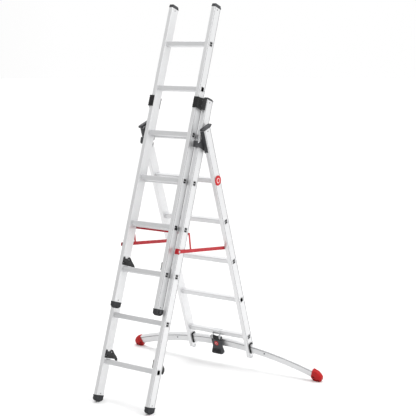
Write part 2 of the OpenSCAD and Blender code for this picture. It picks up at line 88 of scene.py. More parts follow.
def fillet(points, radius, steps=4):
    """A closed outline with its corners rounded; radius is one number or one for each corner."""
    out = []
    for i, corner in enumerate(points):
        r = radius[i] if isinstance(radius, (list, tuple)) else radius
        p, a, b = (Vector(q) for q in (corner, points[i - 1], points[(i + 1) % len(points)]))
        u, v = a - p, b - p
        bend = u.angle(v)
        if bend > math.radians(176) or r <= 0:
            out.append(tuple(p))
            continue
        cut = min(r / math.tan(bend / 2), 0.45 * u.length, 0.45 * v.length)
        start, end = p + u.normalized() * cut, p + v.normalized() * cut
        for k in range(steps + 1):
            t = k / steps
            out.append(tuple(start * (1 - t) ** 2 + p * (2 * t * (1 - t)) + end * t**2))
    return out


def ring_points(r, u=0.0, v=0.0, count=32, turn=0.0):
    """Points round a circle, or a regular shape where count is low."""
    steps = [turn + 2 * math.pi * k / count for k in range(count)]
    return [(u + r * math.cos(a), v + r * math.sin(a)) for a in steps]


AXES = {
    "x": Matrix(((0, 0, 1, 0), (1, 0, 0, 0), (0, 1, 0, 0), (0, 0, 0, 1))),
    "s": Matrix.Identity(4),
    "d": Matrix(((1, 0, 0, 0), (0, 0, -1, 0), (0, 1, 0, 0), (0, 0, 0, 1))),
}


def plate(loops, t0, t1, edge=1.0, axis="x", steps=2):
    """An outline and its holes, extruded from t0 to t1 along an axis, with rounded edges."""
    curve = bpy.data.curves.new("outline", "CURVE")
    curve.dimensions, curve.fill_mode = "2D", "BOTH"
    for loop in loops:
        spline = curve.splines.new("POLY")
        spline.points.add(len(loop) - 1)
        for point, (u, v) in zip(spline.points, loop):
            point.co = (u, v, 0, 1)
        spline.use_cyclic_u = True
    curve.extrude, curve.offset = (t1 - t0) / 2 - edge, -edge
    curve.bevel_depth, curve.bevel_resolution = edge, steps
    holder = bpy.data.objects.new("outline", curve)
    mesh = bpy.data.meshes.new_from_object(holder)
    bm = bmesh.new()
    bm.from_mesh(mesh)
    bpy.data.objects.remove(holder)
    bpy.data.curves.remove(curve)
    bpy.data.meshes.remove(mesh)
    bmesh.ops.remove_doubles(bm, verts=bm.verts, dist=0.002)
    middle = (t0 + t1) / 2
    centre = {"x": (middle, 0, 0), "s": (0, 0, middle), "d": (0, middle, 0)}[axis]
    bm.transform(Matrix.Translation(centre) @ AXES[axis])
    return bm


def lathe(profile, place=None, count=40):
    """A solid of revolution about local Z from (radius, height) points."""
    bm = bmesh.new()
    rings = []
    for r, h in profile:
        if r < 1e-6:
            rings.append([bm.verts.new((0, 0, h))])
        else:
            rings.append([bm.verts.new((x, y, h)) for x, y in ring_points(r, count=count)])
    pairs = list(zip(rings, rings[1:]))
    if len(rings[0]) > 1 and len(rings[-1]) > 1:
        pairs.append((rings[-1], rings[0]))
    for low, high in pairs:
        for k in range(count):
            j = (k + 1) % count
            loop = [low[k % len(low)], low[j % len(low)], high[j % len(high)], high[k % len(high)]]
            loop = [v for i, v in enumerate(loop) if v not in loop[:i]]
            if len(loop) > 2:
                bm.faces.new(loop)
    bmesh.ops.recalc_face_normals(bm, faces=bm.faces)
    if place is not None:
        bm.transform(place)
    return bm


def loft(sections, closed=True):
    """A skin over closed sections with the same number of points each, and its two end faces."""
    bm = bmesh.new()
    rows = [[bm.verts.new(p) for p in points] for points in sections]
    for low, high in zip(rows, rows[1:]):
        for k in range(len(low)):
            j = (k + 1) % len(low)
            bm.faces.new((low[k], low[j], high[j], high[k]))
    if closed:
        for row in (rows[0], rows[-1]):
            bm.faces.new(row)
    bmesh.ops.recalc_face_normals(bm, faces=bm.faces)
    return bm


def wire(points, radius, sides=8):
    """A round wire along points."""
    sections = []
    pts = [Vector(p) for p in points]
    normal = None
    for i, p in enumerate(pts):
        along = (pts[min(i + 1, len(pts) - 1)] - pts[max(i - 1, 0)]).normalized()
        if normal is None:
            normal = along.orthogonal().normalized()
        normal = (normal - along * normal.dot(along)).normalized()
        other = along.cross(normal)
        sections.append([p + normal * (radius * math.cos(a)) + other * (radius * math.sin(a))
                         for a in (2 * math.pi * k / sides for k in range(sides))])
    return loft(sections)


def refined(bm, *modifiers):
    """The shape after modifiers, each given as (kind, settings)."""
    mesh = bpy.data.meshes.new("work")
    bm.to_mesh(mesh)
    bm.free()
    holder = bpy.data.objects.new("work", mesh)
    scene.collection.objects.link(holder)
    for kind, settings in modifiers:
        m = holder.modifiers.new(kind, kind)
        for key, value in settings.items():
            setattr(m, key, value)
    bpy.context.view_layer.update()
    shown = holder.evaluated_get(bpy.context.evaluated_depsgraph_get())
    out = bmesh.new()
    out.from_mesh(shown.to_mesh())
    shown.to_mesh_clear()
    bpy.data.objects.remove(holder)
    bpy.data.meshes.remove(mesh)
    return out


def smooth(bm, levels=2):
    return refined(bm, ("SUBSURF", {"levels": levels, "render_levels": levels}))


def block(x0, x1, d0, d1, s0, s1, edge=0.8):
    """A box with rounded edges."""
    outline = fillet([(d0, s0), (d1, s0), (d1, s1), (d0, s1)], edge)
    return plate([outline], x0, x1, min(edge, (x1 - x0) * 0.4))


def facing(x, d, s, side="x"):
    """Turns local Z to an axis at that place, for bolts, rivets and discs."""
    turn = {"x": Matrix.Rotation(math.pi / 2, 4, "Y"), "-x": Matrix.Rotation(-math.pi / 2, 4, "Y"),
            "-d": Matrix.Rotation(math.pi / 2, 4, "X"), "d": Matrix.Rotation(-math.pi / 2, 4, "X"),
            "s": Matrix.Identity(4)}[side]
    return Matrix.Translation((x, d, s)) @ turn


class Shape:
    """One piece as it is being built: a mesh whose faces carry the number of their material."""

    def __init__(self, *parts):
        self.bm = bmesh.new()
        for part in parts:
            self.add(part)

    def add(self, bm, material=0, place=None):
        if place is not None:
            bm.transform(place)
        for face in bm.faces:
            face.material_index = material
        mesh = bpy.data.meshes.new("part")
        bm.to_mesh(mesh)
        bm.free()
        self.bm.from_mesh(mesh)
        bpy.data.meshes.remove(mesh)
        return self

    def mirrored(self):
        bm = self.bm.copy()
        bm.transform(Matrix.Scale(-1, 4, (1, 0, 0)))
        bmesh.ops.reverse_faces(bm, faces=bm.faces)
        return bm


def on_floor(mesh):
    """Flattens what would go through the floor, as rubber does under load."""
    for v in mesh.vertices:
        v.co.z = max(v.co.z, 0.0)


def piece(name, shape, place, body, materials, stands_for, side="both", floor=False, angle=38.0):
    """Makes one visible piece from a shape drawn on the right-hand side."""
    mesh = bpy.data.meshes.new(name)
    if side == "left":
        bm = shape.mirrored()
    else:
        bm = shape.bm.copy()
        if side == "both":
            other = bpy.data.meshes.new("other")
            twin = shape.mirrored()
            twin.to_mesh(other)
            twin.free()
            bm.from_mesh(other)
            bpy.data.meshes.remove(other)
    bm.transform(place)
    bmesh.ops.dissolve_degenerate(bm, edges=bm.edges, dist=1e-7)
    bm.to_mesh(mesh)
    bm.free()
    if floor:
        on_floor(mesh)
    for m in materials:
        mesh.materials.append(m)
    mesh.shade_smooth()
    mesh.set_sharp_from_angle(angle=math.radians(angle))
    obj = bpy.data.objects.new(name, mesh)
    scene.collection.objects.link(obj)
    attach(obj, body)
    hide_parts(*stands_for)
    return obj


# ---------------------------------------------------------------- materials


def add_node(tree, kind, inputs=None, **settings):
    node = tree.nodes.new(kind)
    for key, value in settings.items():
        setattr(node, key, value)
    for key, value in (inputs or {}).items():
        if isinstance(value, bpy.types.NodeSocket):
            tree.links.new(value, node.inputs[key])
        else:
            node.inputs[key].default_value = value
    return node


def coords(tree, scale, turn=0.0):
    """Object coordinates turned about X into a section's frame, then scaled."""
    where = add_node(tree, "ShaderNodeTexCoord").outputs["Object"]
    if turn:
        where = add_node(tree, "ShaderNodeMapping",
                         {"Vector": where, "Rotation": (turn, 0, 0)}).outputs["Vector"]
    return add_node(tree, "ShaderNodeMapping", {"Vector": where, "Scale": scale}).outputs["Vector"]


def noise(tree, vector, detail=3.0, rough=0.5, distortion=0.0):
    return add_node(tree, "ShaderNodeTexNoise", {
        "Vector": vector, "Scale": 1.0, "Detail": detail, "Roughness": rough, "Distortion": distortion,
    }).outputs["Fac"]


def ramp(tree, value, low, high, from_min=0.3, from_max=0.7):
    return add_node(tree, "ShaderNodeMapRange", {
        "Value": value, "From Min": from_min, "From Max": from_max, "To Min": low, "To Max": high,
    }).outputs["Result"]


def mix(tree, factor, a, b):
    node = add_node(tree, "ShaderNodeMix", {0: factor}, data_type="RGBA")
    for index, value in ((6, a), (7, b)):
        if isinstance(value, bpy.types.NodeSocket):
            tree.links.new(value, node.inputs[index])
        else:
            node.inputs[index].default_value = (*value, 1.0)
    return node.outputs[2]


def product(tree, a, b):
    return add_node(tree, "ShaderNodeMath", {0: a, 1: b}, operation="MULTIPLY").outputs[0]


def material(name, **fixed):
    m = bpy.data.materials.new(name)
    m.use_nodes = True
    tree = m.node_tree
    shader = tree.nodes["Principled BSDF"]
    for key, value in fixed.items():
        shader.inputs[key.replace("_", " ")].default_value = value
    return m, tree, shader


def connect(tree, shader, colour, roughness, height, strength, distance):
    tree.links.new(colour, shader.inputs["Base Color"])
    tree.links.new(roughness, shader.inputs["Roughness"])
    bump = add_node(tree, "ShaderNodeBump", {"Height": height, "Strength": strength, "Distance": distance})
    tree.links.new(bump.outputs["Normal"], shader.inputs["Normal"])


def scaled(colour, by):
    """A colour made darker or lighter."""
    return tuple(min(c * by, 1) for c in colour)


def aluminium(name, light, dark, along, turn=0.0, metallic=0.75, rough=0.36):
    """Extruded aluminium: fine die lines along the profile, faint handling marks and clouding."""
    m, tree, shader = material(name, Metallic=metallic)
    fine, slow = 900.0, 3.0
    scale = (slow, fine, fine) if along == "x" else (fine, fine, slow)
    lines = noise(tree, coords(tree, scale, turn), 4.0, 0.65)
    cloud = noise(tree, coords(tree, (9.0, 9.0, 9.0), turn), 3.0, 0.55)
    wide = (14.0, 260.0, 260.0) if along == "x" else (260.0, 260.0, 14.0)
    scuffs = noise(tree, coords(tree, wide, turn), 2.0, 0.5, 0.6)
    marks = ramp(tree, scuffs, 0.0, 1.0, 0.66, 0.74)
    base = mix(tree, ramp(tree, lines, 0.0, 1.0), dark, light)
    base = mix(tree, ramp(tree, cloud, 0.0, 0.22), base, scaled(light, 0.88))
    base = mix(tree, product(tree, marks, ramp(tree, cloud, 0.0, 0.5)), base, scaled(light, 0.74))
    roughness = ramp(tree, lines, rough - 0.06, rough + 0.1)
    connect(tree, shader, base, roughness, lines, 0.12, 0.0003)
    return m


def moulded(name, colour, lift, rough=0.5, grain=1400.0, strength=0.25, coat=0.0, specular=0.5):
    """Moulded plastic or rubber: a fine eroded grain, uneven gloss, and paler rubbed places."""
    m, tree, shader = material(name, Coat_Weight=coat, Coat_Roughness=0.25, Specular_IOR_Level=specular)
    grains = noise(tree, coords(tree, (grain,) * 3), 2.0, 0.6)
    cells = add_node(tree, "ShaderNodeTexVoronoi", {"Vector": coords(tree, (grain * 0.6,) * 3), "Scale": 1.0})
    cloud = noise(tree, coords(tree, (30.0,) * 3), 4.0, 0.6)
    rubbed = noise(tree, coords(tree, (110.0,) * 3), 3.0, 0.7, 0.4)
    base = mix(tree, ramp(tree, cloud, 0.0, 1.0), scaled(colour, 0.82), scaled(colour, 1.14))
    base = mix(tree, ramp(tree, rubbed, 0.0, 0.55, 0.58, 0.78), base, lift)
    roughness = ramp(tree, rubbed, rough - 0.08, rough + 0.1)
    height = add_node(tree, "ShaderNodeMath", {0: grains, 1: cells.outputs["Distance"]},
                      operation="ADD").outputs[0]
    connect(tree, shader, base, roughness, height, strength, 0.0002)
    return m


def plated(name, light, dark, rough=0.3):
    """Zinc-plated steel: a patchy crystalline sheen."""
    m, tree, shader = material(name, Metallic=1.0)
    cells = add_node(tree, "ShaderNodeTexVoronoi",
                     {"Vector": coords(tree, (260.0,) * 3), "Scale": 1.0, "Randomness": 1.0})
    cloud = noise(tree, coords(tree, (90.0,) * 3), 4.0, 0.6)
    fine = noise(tree, coords(tree, (1500.0,) * 3), 2.0, 0.5)
    base = mix(tree, ramp(tree, cells.outputs["Distance"], 0.0, 1.0, 0.1, 0.8), light, dark)
    base = mix(tree, ramp(tree, cloud, 0.0, 0.4), base, scaled(dark, 0.7))
    connect(tree, shader, base, ramp(tree, cloud, rough - 0.06, rough + 0.14), fine, 0.15, 0.0002)
    return m


def coated(name, colour, rough=0.34):
    """Powder coating: an orange-peel skin with small chips of dulled colour."""
    m, tree, shader = material(name, Coat_Weight=0.1, Coat_Roughness=0.2, Specular_IOR_Level=0.3)
    peel = noise(tree, coords(tree, (650.0,) * 3), 2.0, 0.45)
    cloud = noise(tree, coords(tree, (24.0,) * 3), 3.0, 0.55)
    chips = noise(tree, coords(tree, (320.0,) * 3), 2.0, 0.8, 0.5)
    base = mix(tree, ramp(tree, cloud, 0.0, 1.0), scaled(colour, 0.86), scaled(colour, 1.1))
    base = mix(tree, ramp(tree, chips, 0.0, 0.7, 0.72, 0.8), base, scaled(colour, 0.55))
    connect(tree, shader, base, ramp(tree, peel, rough - 0.05, rough + 0.08), peel, 0.35, 0.0003)
    return m


alu_front = aluminium("aluminium_front_stiles", (0.78, 0.783, 0.788), (0.68, 0.683, 0.69), "s", LEAN)
alu_rear = aluminium("aluminium_rear_stiles", (0.78, 0.783, 0.788), (0.68, 0.683, 0.69), "s", -LEAN)
alu_rung = aluminium("aluminium_rungs", (0.70, 0.703, 0.71), (0.60, 0.603, 0.61), "x", 0.0, rough=0.4)
alu_bar = aluminium("aluminium_bar", (0.74, 0.743, 0.75), (0.64, 0.643, 0.65), "x", -LEAN)
# painted groove shade: a dark aluminium for the faces at the bottom of the extrusions' grooves, where shade
# falls
alu_groove_shade = aluminium("aluminium_painted_groove_shade", (0.15, 0.152, 0.156), (0.10, 0.10, 0.104), "s", 0.0, 0.3, 0.55)
steel = plated("zinc_plated_steel", (0.80, 0.80, 0.79), (0.58, 0.59, 0.61))
dark_steel = plated("darkened_steel", (0.16, 0.16, 0.17), (0.07, 0.07, 0.075), 0.4)
grey_plastic = moulded("moulded_dark_grey", (0.040, 0.041, 0.045), (0.085, 0.086, 0.09), 0.46, specular=0.4)
black_plastic = moulded("moulded_black", (0.010, 0.010, 0.011), (0.030, 0.030, 0.032), 0.42, specular=0.3)
rubber_grey = moulded("rubber_dark_grey", (0.028, 0.029, 0.032), (0.065, 0.066, 0.07), 0.66, 900.0, 0.4,
                      specular=0.3)
red_coat = coated("red_powder_coat", (0.40, 0.004, 0.012))
red_cap = moulded("red_moulded_rubber", (0.40, 0.005, 0.006), (0.46, 0.016, 0.014), 0.5, 1100.0, 0.25,
                  specular=0.25)
# painted recess shade: a dark red for the patches on the stabiliser caps that stand for shaded recesses
red_painted_shade = moulded("red_rubber_painted_recess_shade", (0.10, 0.002, 0.003), (0.14, 0.004, 0.004), 0.6, 1100.0, 0.25,
                    specular=0.2)
red_badge = moulded("red_badge", (0.50, 0.006, 0.010), (0.54, 0.02, 0.02), 0.35, 1600.0, 0.12, coat=0.1,
                    specular=0.3)
pale_mark = moulded("pale_inlay", (0.72, 0.62, 0.61), (0.80, 0.74, 0.73), 0.4, 1600.0, 0.12)

# ---------------------------------------------------------------- carried-over CAD nodes


def dress(names, mat, edge=0.4, steps=2, angle=28.0, dissolve=True):
    """A CAD node keeps its shape, and gets eased edges and its material."""
    for name in names:
        obj = nodes[name]
        if "custom_normal" in obj.data.attributes:
            obj.data.attributes.remove(obj.data.attributes["custom_normal"])
        obj.data.materials.clear()
        obj.data.materials.append(mat)
        obj.data.shade_smooth()
        obj.modifiers.new("weld", "WELD").merge_threshold = 1e-6
        if dissolve:
            flat = obj.modifiers.new("flat", "DECIMATE")
            flat.decimate_type, flat.angle_limit = "DISSOLVE", math.radians(0.4)
        if edge:
            bevel = obj.modifiers.new("edge", "BEVEL")
            bevel.width, bevel.segments, bevel.limit_method = edge * MM, steps, "ANGLE"
            bevel.angle_limit, bevel.harden_normals = math.radians(angle), False
            bevel.use_clamp_overlap, bevel.miter_outer = True, "MITER_ARC"
        weighted = obj.modifiers.new("normals", "WEIGHTED_NORMAL")
        weighted.keep_sharp, weighted.weight = False, 60


def darken(names, place, in_groove):
    """Gives the faces at the bottom of an extrusion's grooves a dark aluminium: painted shade that draws each
    groove as a dark line.
    """
    for name in names:
        obj = nodes[name]
        obj.data.materials.append(alu_groove_shade)
        to_section = place.inverted() @ obj.matrix_world
        for face in obj.data.polygons:
            if in_groove(to_section @ face.center):
                face.material_index = 1


def stile_groove(outer):
    return lambda c: abs(abs(c.x) - (outer - STILE_GROOVE)) < 0.1 and STILE_GROOVE_0 < abs(c.y) < STILE_GROOVE_1


def rung_groove(c):
    return abs((c.z + PITCH / 2) % PITCH - PITCH / 2 - GRIP_S) < 0.1 and abs(c.y) < GRIP_HALF


def bar_groove(c):
    return abs(abs(c.y) - (BAR_T / 2 - BAR_GROOVE)) < 0.1


dress(["base_stile_left", "base_stile_right", "ext_stile_left", "ext_stile_right"], alu_front, 0.3,
      dissolve=False)
dress(["rear_stile_left", "rear_stile_right"], alu_rear, 0.3, dissolve=False)
dress(["base_rungs", "ext_rungs", "rear_rungs"], alu_rung, 0.25)
dress(["stabiliser_bar"], alu_bar, 0.4)
# the groove bottoms of stiles, rungs and bar get the painted groove shade
darken(["base_stile_left", "base_stile_right"], BASE, stile_groove(BASE_OUT))
darken(["ext_stile_left", "ext_stile_right"], EXT, stile_groove(EXT_OUT))
darken(["rear_stile_left", "rear_stile_right"], REAR, stile_groove(REAR_OUT))
darken(["base_rungs"], BASE, rung_groove)
darken(["ext_rungs"], EXT, rung_groove)
darken(["rear_rungs"], REAR, rung_groove)
darken(["stabiliser_bar"], REAR, bar_groove)
dress(["hinge_pins", "pedal_bracket", "pedal_axle"], steel, 0.4)
dress(["ext_lower_guides"], grey_plastic, 0.8)
dress(["pedal_hub", "pedal_brake_shoe"], black_plastic, 0.8)
dress(["spreader_bar_left", "spreader_bar_right", "spreader_end_tabs", "spreader_risers", "spreader_handle"],
      red_coat, 0.6)

# ---------------------------------------------------------------- fasteners


def rivet(x, s, d=0.0, side="x", r=3.6, head=1.4):
    """Domed blind rivet with a sunk centre."""
    profile = [(0, head * 0.45), (r * 0.25, head * 0.45), (r * 0.36, head * 0.96), (r * 0.55, head),
               (r * 0.8, head * 0.72), (r * 0.95, head * 0.34), (r, 0.1), (r, 0), (0, 0)]
    return lathe(profile, facing(x, d, s, side), 28)


def socket_bolt(x, d, s, r, head, side="x", socket=0.5):
    """Round bolt head with a hexagon socket; the head stands out from x."""
    turn = facing(x, d, s, side)
    ring = plate([ring_points(r, count=36), ring_points(r * socket, count=6)], 0.0, head,
                 min(0.45, head * 0.3), "s")
    ring.transform(turn)
    bottom = lathe([(0, head * 0.3), (r * 0.7, head * 0.3), (r * 0.7, 0), (0, 0)], turn, 24)
    return ring, bottom


def rivets_on(x_in, s_values, inner=True):
    shape = Shape()
    for s in s_values:
        shape.add(rivet(x_in + STILE_W, s))
        if inner:
            shape.add(rivet(x_in, s, side="-x"))
    return shape


piece("rivets_base", rivets_on(BASE_IN, (RIVET_LOW, FRONT_TOP - 16)), BASE, "base", [dark_steel],
      ["base_rivets"])
piece("rivets_extension", rivets_on(EXT_IN, (RIVET_LOW, FRONT_TOP - 16)), EXT, "extension", [dark_steel],
      ["ext_rivets"])
piece("rivets_rear", rivets_on(REAR_IN, (REAR_TOP - 18,), inner=False), REAR, "rear", [dark_steel],
      ["rear_rivets"])



def painted_shade_plugs(width, count):
    """Black plugs sunk in the two chambers of every rung end, painted shade that stands for the dark hollows of
    open chambers.
    """
    wall = 2.2
    half = 15.0 - wall
    tall = (30.0 - 3 * wall) / 2
    shape = Shape()
    for k in range(count):
        for s in (-15.0 + wall, wall / 2):
            s += k * PITCH
            shape.add(block(width - 13.0, width - 2.6, -half + 0.2, half - 0.2, s + 0.2, s + tall - 0.2, 0.6))
            for d in (-6.2, 0.0, 6.2):
                shape.add(block(width - 3.4, width - 1.8, d - 0.9, d + 0.9, s + 1.4, s + tall - 1.4, 0.3))
    return shape


# black plugs in every rung end as painted shade for the dark open chambers
for name, where, body, width, count in (("base", BASE, "base", BASE_OUT, 6),
                                        ("extension", EXT, "extension", EXT_OUT, 6),
                                        ("rear", REAR, "rear", REAR_OUT, 5)):
    piece("painted_shade_plugs_rungs_" + name, painted_shade_plugs(width, count), where, body, [black_plastic], [])

# ---------------------------------------------------------------- feet and caps


def foot(x_in):
    """Rubber foot: a lipped boot on the stile's end, with tread bars across a rounded sole."""
    x0, x1 = x_in - 2, x_in + STILE_W + 2
    deep = HALF_D + 2

    def arc(r, half, count):
        bottom = math.asin(half / r)
        angles = [-bottom + 2 * bottom * k / count for k in range(count + 1)]
        return [(r * math.sin(a), SOLE_S - r * math.cos(a)) for a in angles]

    body = arc(SOLE_R - 1.7, deep - 0.9, 18)
    outline = [*body, (deep - 0.9, -207.5), (-deep + 0.9, -207.5)]
    outline = fillet(outline, [0.0] * len(body) + [1.5, 1.5])
    shape = Shape(plate([outline], x0 + 0.9, x1 - 0.9, 1.8, steps=3))
    shape.add(block(x0, x1, -deep, deep, -208.5, -202.0, 1.6))
    sole = math.asin((deep - 1.2) / SOLE_R)
    bars = 12
    for k in range(bars):
        a0 = -sole + 2 * sole * (k + 0.12) / bars
        a1 = -sole + 2 * sole * (k + 0.88) / bars
        corners = [(SOLE_R - 5, a0), (SOLE_R - 5, a1), (SOLE_R, a1), (SOLE_R, a0)]
        tread = [(r * math.sin(a), SOLE_S - r * math.cos(a)) for r, a in corners]
        shape.add(plate([tread], x0, x1, 0.5, steps=1))
    for d in (-22.0, 0.0, 22.0):  # ribs up both sides
        for x in (x0 + 0.1, x1 - 2.1):
            shape.add(block(x, x + 2.0, d - 5.5, d + 5.5, -227.0 if d else -231.0, -205.0, 0.8))
    return shape


piece("feet_base", foot(BASE_IN), BASE, "base", [rubber_grey], ["base_feet"], floor=True)
piece("feet_extension", foot(EXT_IN), EXT, "extension", [rubber_grey], ["ext_feet"])


def top_cap(x_in, top, rise):
    """Plug cap: a skirt lip round the stile and a bevelled crown with a shallow panel."""
    h = HALF_D + 1
    x0, x1 = x_in - 1, x_in + STILE_W + 1
    crown = [(-h + 0.7, top), (h - 0.7, top), (h - 0.7, top + rise - 11), (h - 10, top + rise - 0.6),
             (-h + 5.5, top + rise - 0.6), (-h + 0.7, top + rise - 5)]
    shape = Shape(plate([fillet(crown, [0.5, 0.5, 3, 4, 3, 3])], x0 + 0.7, x1 - 0.7, 2.2, steps=3))
    shape.add(block(x0, x1, -h, h, top - 3, top + 1.6, 0.8))
    shape.add(block(x0 + 5, x1 - 5, -h + 9, h - 14, top + rise - 3, top + rise, 1.4))
    return shape


piece("caps_base_top", top_cap(BASE_IN, FRONT_TOP, 10.0), BASE, "base", [grey_plastic], ["base_top_caps"])
piece("caps_extension_top", top_cap(EXT_IN, FRONT_TOP, 18.0), EXT, "extension", [grey_plastic],
      ["ext_top_caps"])

rear_cap = [(-46, REAR_TOP - 1), (-HALF_D - 1, REAR_TOP - 6), (HALF_D, REAR_TOP - 6), (50, REAR_TOP + 3),
            (50, REAR_TOP + 8), (45, REAR_TOP + 12), (-41, REAR_TOP + 12), (-46, REAR_TOP + 7)]
shape = Shape(plate([fillet(rear_cap, 4.5)], REAR_IN + 0.5, REAR_IN + 26.5, 3.2, steps=3))
for d in (-36.0, -28.0, 28.0, 36.0):  # grip ridges at both overhanging ends
    shape.add(block(REAR_IN + 5, REAR_IN + 22, d - 1.6, d + 1.6, REAR_TOP + 9, REAR_TOP + 12, 0.8))
piece("caps_rear_top", shape, REAR, "rear", [grey_plastic], ["rear_top_caps"])

# ---------------------------------------------------------------- slide guides

GUIDE_S, GUIDE_TALL = FRONT_TOP - 70, 66.0
WING, BACK = STACK + HALF_D + 0.6, STACK - HALF_D - 0.6
LIP, SLOT = EXT_IN + 3, EXT_OUT + 2
guide = [(LIP, -BACK + 8), (BASE_IN, -BACK + 8), (BASE_IN, -HALF_D), (BASE_OUT, -HALF_D), (BASE_OUT, -44.0),
         (193.0, -58.0), (181.0, -63.0), (181.0, -WING - 7), (LIP, -WING - 7), (LIP, -WING), (SLOT, -WING),
         (SLOT, -BACK), (LIP, -BACK)]
guide_round = [2, 0.5, 0.5, 0.5, 3, 8, 4, 4, 2, 1, 1, 1, 1]
for side in ("right", "left"):
    core = plate([fillet(guide, guide_round)], GUIDE_S + 1, GUIDE_S + GUIDE_TALL - 1, 1.5, "s", 3)
    for v in core.verts:  # the web between the ribs lies deeper on the outer faces
        if v.co.y < -WING - 1 or (v.co.x > SLOT + 4 and v.co.y < -HALF_D - 2):
            v.co.x -= 1.3 if v.co.x > SLOT + 3 else 0.0
            v.co.y += 1.3 if v.co.y < -WING - 1 else 0.0
    shape = Shape(core)
    for k in range(6):
        s = GUIDE_S + 11.8 * k
        shape.add(plate([fillet(guide, guide_round)], s, s + 7.0, 1.1, "s", 2))
    for s in (GUIDE_S + 17.0, GUIDE_S + GUIDE_TALL - 17.0):
        shape.add(rivet(BASE_OUT - 14, s, -58.5, "-d", 4.2, 1.6), 1)
    piece("guide_" + side, shape, BASE, "base", [black_plastic, dark_steel], ["base_guide_" + side],
          side)

# ---------------------------------------------------------------- hinges

LOW = HINGE_S - 12
SHELL_TOP = HINGE_S + 90
shell_face = [(-HALF_D, LOW + 2), (HINGE_D - 14, LOW), (HINGE_D - 6, LOW - 6), (HALF_D - 2, LOW - 3),
              (HALF_D, LOW + 8),
              (HALF_D, HINGE_S + 30), (HALF_D - 4, SHELL_TOP), (-4, SHELL_TOP), (-14, SHELL_TOP - 18),
              (-20, HINGE_S + 30), (-HALF_D, HINGE_S + 18)]
claw = [(-HALF_D + 3, LOW + 2), (-HALF_D - 17, LOW - 4), (-HALF_D - 25, LOW + 3), (-HALF_D - 29, LOW + 30),
        (-HALF_D - 26, LOW + 36), (-HALF_D - 20, LOW + 35), (-HALF_D - 15, LOW + 22), (-HALF_D - 7, LOW + 20),
        (-HALF_D, LOW + 28), (-HALF_D + 3, LOW + 28)]
flange = [(HALF_D - 2, HINGE_S + 26), (HALF_D + 9, HINGE_S + 30), (HALF_D + 9, HINGE_S + 50),
          (HALF_D - 2, HINGE_S + 58)]
strike = [(-HALF_D - 0.1, LOW + 108), (-HALF_D - 2, LOW + 108), (-HALF_D - 2, LOW + 32),
          (-HALF_D - 4, LOW + 26),
          (-HALF_D - 8, LOW + 25), (-HALF_D - 12, LOW + 27), (-HALF_D - 15, LOW + 38),
          (-HALF_D - 17, LOW + 38),
          (-HALF_D - 14.2, LOW + 25), (-HALF_D - 8, LOW + 22.5), (-HALF_D - 3, LOW + 24.6),
          (-HALF_D - 0.1, LOW + 30)]
for side in ("right", "left"):
    face = plate([fillet(shell_face, [2, 6, 3, 4, 3, 4, 5, 3, 6, 8, 4]), ring_points(5.2, HINGE_D, HINGE_S)],
                 BASE_OUT, BASE_OUT + 4.6, 1.2, steps=3)
    shape = Shape(face)
    shape.add(plate([fillet(claw, [0, 5, 6, 4, 2.5, 2.5, 4, 4, 0, 0])], BASE_OUT - 22, BASE_OUT + 4.6, 1.6,
                    steps=3))
    shape.add(plate([fillet(flange, [0, 3, 3, 0])], BASE_OUT - 23, BASE_OUT + 4.6, 1.4, steps=3))
    # fingers moulded into the claw's front
    for k in range(3):
        x = BASE_OUT - 17.5 + 7.5 * k
        shape.add(block(x, x + 2.6, -HALF_D - 27.8, -HALF_D - 20, LOW + 6, LOW + 28, 1.0))
    piece("hinge_housing_" + side, shape, BASE, "base", [grey_plastic], ["hinge_shell_" + side],
          side)

shape = Shape(plate([fillet(strike, [0.3, 0.3, 2, 2, 2, 3, 0.4, 0.4, 3, 2, 2, 1])], BASE_OUT - 20,
                    BASE_OUT - 2, 0.35))
for s in (LOW + 48.0, LOW + 98.0):
    shape.add(rivet(BASE_OUT - 11, s, -HALF_D - 1.9, "-d", 3.6, 1.2))
piece("strike_plates", shape, BASE, "base", [steel], ["hinge_strike_plates"])

PLATE_LOW, PLATE_TOP = HINGE_S - 48, REAR_TOP - 8
blade = [(-HALF_D - 4, HINGE_S - 26), (-HALF_D + 12, PLATE_LOW), (-HALF_D + 18, PLATE_LOW),
         (HALF_D - 6, HINGE_S - 20),
         (HALF_D - 2, HINGE_S + 40), (HALF_D - 10, PLATE_TOP), (-HALF_D - 4, PLATE_TOP)]
strip = [(-HALF_D - 4, HINGE_S - 26), (-HALF_D, PLATE_LOW + 20), (-HALF_D, PLATE_TOP),
         (-HALF_D - 4, PLATE_TOP)]
for side in ("right", "left"):
    face = plate([fillet(blade, [3, 2, 2, 6, 6, 4, 1]), ring_points(5.0, -HINGE_D, HINGE_S)],
                 REAR_IN - 4.6, REAR_IN, 1.0, steps=2)
    shape = Shape(face)
    shape.add(plate([fillet(strip, [1.5, 0.5, 0.5, 1.5])], REAR_IN - 2, REAR_IN + 21, 0.9))
    shape.add(block(REAR_IN + 8, REAR_IN + 12, -HALF_D - 4, -HALF_D - 2, HINGE_S - 18, PLATE_TOP - 6, 0.9))
    piece("hinge_leaf_" + side, shape, REAR, "rear", [grey_plastic], ["hinge_plate_" + side],
          side)

# ---------------------------------------------------------------- rung latches

latch = [(0, 24), (4, 21), (96, 20), (103, 16), (104, -4), (108, -11), (115, -11), (123, -2), (127, 12),
         (124, 25),
         (110, 38), (88, 52), (70, 68), (64, 72), (52, 72), (44, 61), (20, 60), (17, 70), (5, 70), (1, 62)]
latch_round = [2, 2, 4, 4, 3, 3, 3, 5, 6, 7, 8, 8, 6, 4, 4, 6, 4, 3, 3, 5]


